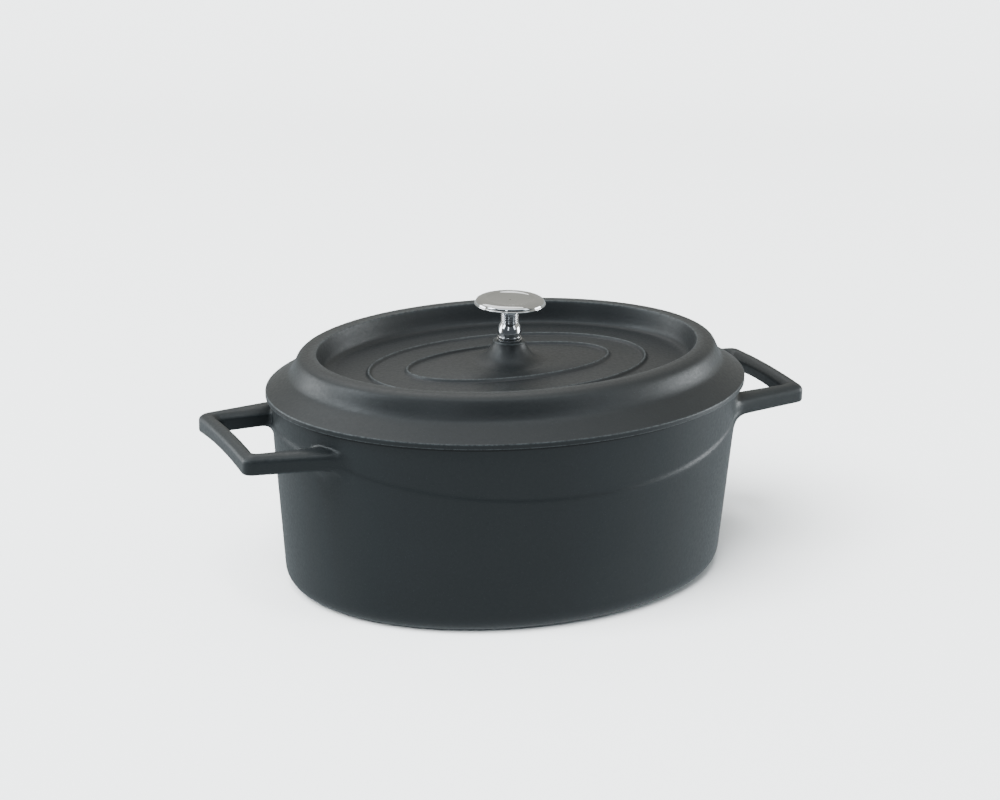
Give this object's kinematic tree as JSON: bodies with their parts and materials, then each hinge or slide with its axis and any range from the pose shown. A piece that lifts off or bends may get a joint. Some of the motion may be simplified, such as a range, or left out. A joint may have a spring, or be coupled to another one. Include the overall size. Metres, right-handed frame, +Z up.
{
  "type": "cast iron dutch oven",
  "caption": "Oval cast iron dutch oven with two integral loop handles and a lift-off lid with a raised ring, oval ribs and a turned metal knob.",
  "frame": {"origin": "centre of the pot's flat underside", "axes": "+Z up through the knob, +X along the long side towards one loop handle, +Y across the short side"},
  "size_m": [0.3544, 0.2252, 0.1658],
  "materials": {
    "pot_enamel": "matt charcoal enamel with a fine cast texture",
    "lid_enamel": "matt charcoal enamel with a fine cast texture",
    "cap_chrome": "mirror polished",
    "stem_chrome": "polished, turned with fine rings",
    "foot_ring_chrome": "polished",
    "zinc_steel": "zinc plated, satin",
    "spring_steel": "dark spring steel, satin"
  },
  "bodies": {
    "pot": {"pot": "pot_enamel"},
    "lid": {"lid": "lid_enamel", "knob_cap": "cap_chrome", "knob_stem": "stem_chrome", "knob_foot_ring": "foot_ring_chrome", "flat_washer": "zinc_steel", "spring_washer": "spring_steel", "knob_screw": "zinc_steel"}
  },
  "joints": [
    {"name": "lid_lift", "type": "slide", "parent": "pot", "child": "lid", "axis": [0, 0, 1], "range_m": [0, 0.15]}
  ]
}
